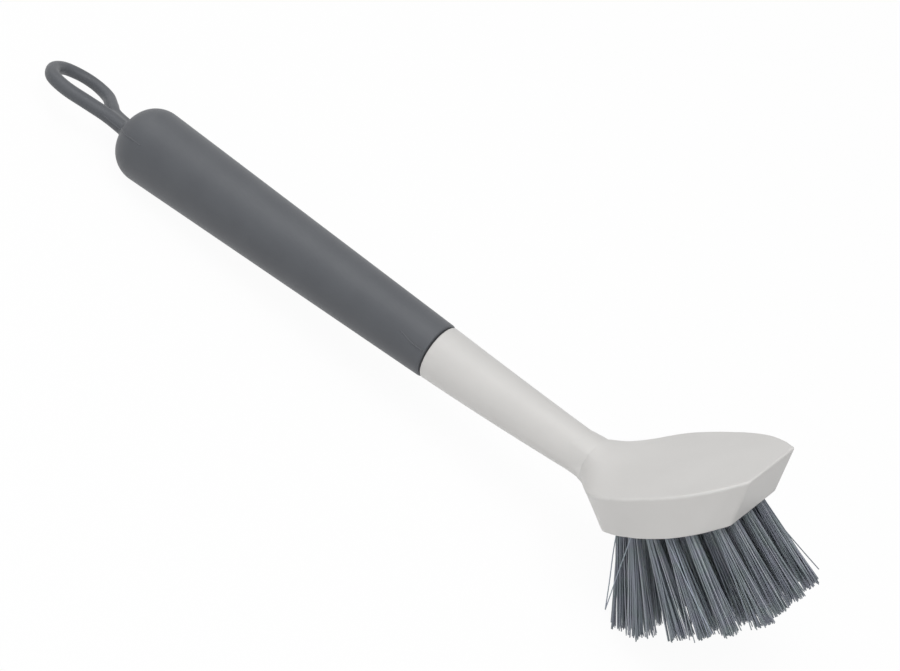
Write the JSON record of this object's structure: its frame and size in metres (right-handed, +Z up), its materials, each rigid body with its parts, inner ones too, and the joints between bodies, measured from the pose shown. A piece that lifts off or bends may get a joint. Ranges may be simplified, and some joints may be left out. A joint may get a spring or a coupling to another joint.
{
  "type": "kitchen brush",
  "caption": "Long-handled dish brush: a tilted flat-topped head with angled bristle tufts, a slim neck, and a soft tapered grip with a hanging loop.",
  "frame": {"origin": "middle of the bounding box, on the level surface that the brush lies on", "axes": "+X along the brush towards its head, +Y across it, +Z up; the bristles face down and ahead"},
  "size_m": [0.2792, 0.047, 0.07],
  "materials": {
    "grip": "matt soft-touch dark grey",
    "head": "fine satin light grey",
    "bristles": "smooth grey nylon strands",
    "anchors": "plain drawn wire"
  },
  "bodies": {
    "root": {"grip_sleeve": "grip", "head_and_neck": "head", "tuft_01": "bristles", "tuft_02": "bristles", "tuft_03": "bristles", "tuft_04": "bristles", "tuft_05": "bristles", "tuft_06": "bristles", "tuft_07": "bristles", "tuft_08": "bristles", "tuft_09": "bristles", "tuft_10": "bristles", "tuft_11": "bristles", "tuft_12": "bristles", "tuft_13": "bristles", "tuft_14": "bristles", "tuft_15": "bristles", "tuft_16": "bristles", "tuft_17": "bristles", "tuft_18": "bristles", "tuft_19": "bristles", "tuft_20": "bristles", "tuft_21": "bristles", "tuft_22": "bristles", "tuft_23": "bristles", "tuft_24": "bristles", "tuft_25": "bristles", "tuft_26": "bristles", "tuft_27": "bristles", "tuft_28": "bristles", "tuft_29": "bristles", "anchor_01": "anchors", "anchor_02": "anchors", "anchor_03": "anchors", "anchor_04": "anchors", "anchor_05": "anchors", "anchor_06": "anchors", "anchor_07": "anchors", "anchor_08": "anchors", "anchor_09": "anchors", "anchor_10": "anchors", "anchor_11": "anchors", "anchor_12": "anchors", "anchor_13": "anchors", "anchor_14": "anchors", "anchor_15": "anchors", "anchor_16": "anchors", "anchor_17": "anchors", "anchor_18": "anchors", "anchor_19": "anchors", "anchor_20": "anchors", "anchor_21": "anchors", "anchor_22": "anchors", "anchor_23": "anchors", "anchor_24": "anchors", "anchor_25": "anchors", "anchor_26": "anchors", "anchor_27": "anchors", "anchor_28": "anchors", "anchor_29": "anchors"}
  },
  "joints": []
}
